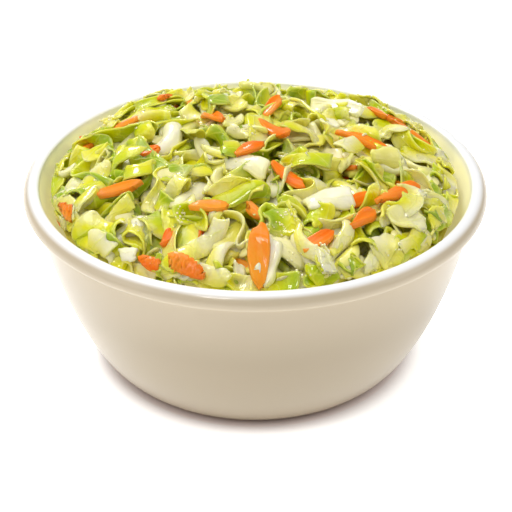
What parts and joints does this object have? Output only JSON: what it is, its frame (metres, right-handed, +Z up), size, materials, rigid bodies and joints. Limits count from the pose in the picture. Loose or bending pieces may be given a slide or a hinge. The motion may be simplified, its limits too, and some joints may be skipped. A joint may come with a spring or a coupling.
{
  "type": "bowl of coleslaw",
  "caption": "Round lipped bowl filled with a domed heap of shredded cabbage and carrot in creamy dressing.",
  "frame": {"origin": "centre of the bowl's base, on the surface that the bowl stands on", "axes": "+Z up through the middle of the bowl; -Y is the side that faces the viewer"},
  "size_m": [0.12, 0.12, 0.0634],
  "materials": {
    "cream_glaze": "satin cream glaze, white along the lip",
    "dressed_cabbage": "moist cabbage, pale rib to bright green leaf, wet with creamy dressing",
    "carrot": "moist grated carrot, partly veiled by dressing",
    "creamy_dressing": "glossy ivory dressing in beads and films"
  },
  "bodies": {
    "root": {"bowl": "cream_glaze", "coleslaw": "dressed_cabbage"}
  },
  "joints": []
}
